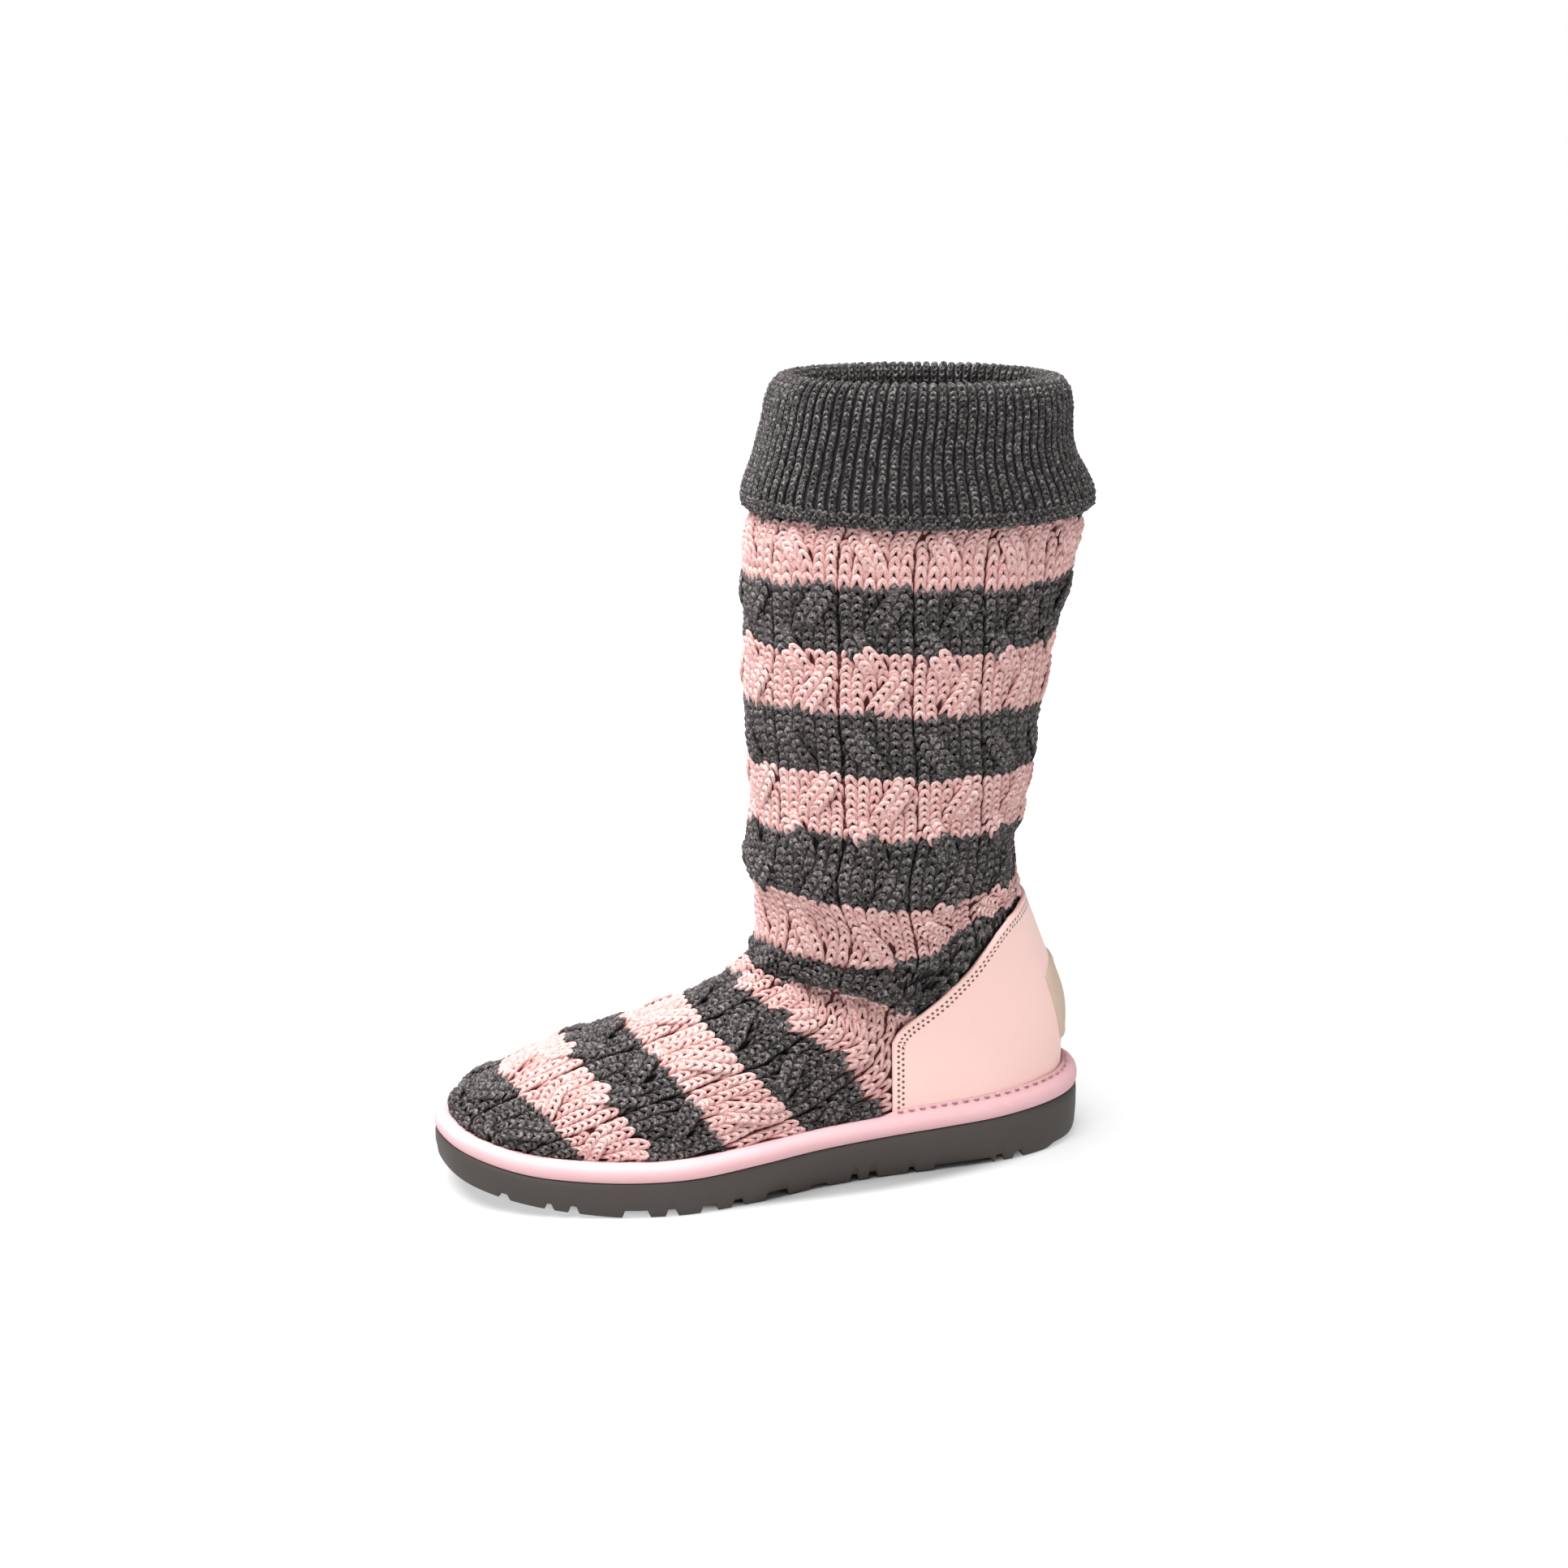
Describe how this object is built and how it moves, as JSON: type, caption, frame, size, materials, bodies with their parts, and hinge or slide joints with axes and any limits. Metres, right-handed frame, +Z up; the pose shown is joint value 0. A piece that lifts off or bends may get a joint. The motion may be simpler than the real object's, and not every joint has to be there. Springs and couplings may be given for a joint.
{
  "type": "sweater boot",
  "caption": "Mid-calf knit boot with cable-knit leg, folded rib cuff, leather heel counter, bound edge and flat grooved sole.",
  "frame": {"origin": "centre of the bounding box on the ground plane, under the outsole", "axes": "+Z up from the ground, toe towards -Y, heel towards +Y, outer (lateral) side of the left foot towards +X"},
  "size_m": [0.101, 0.265, 0.312],
  "materials": {
    "outsole": "dark foam rubber, moulded, matt",
    "rand": "pale pink suede binding",
    "insole": "short fleece",
    "knit": "chunky cable knit, pink and charcoal stripes",
    "rib": "one by one rib knit, heathered charcoal",
    "counter_leather": "pale peach leather, fine grain, satin",
    "label": "plain beige patch"
  },
  "bodies": {
    "root": {"outsole": "outsole", "rand": "rand", "insole": "insole", "upper": "knit", "cuff": "rib", "heel_counter": "counter_leather", "heel_label": "label"}
  },
  "joints": []
}
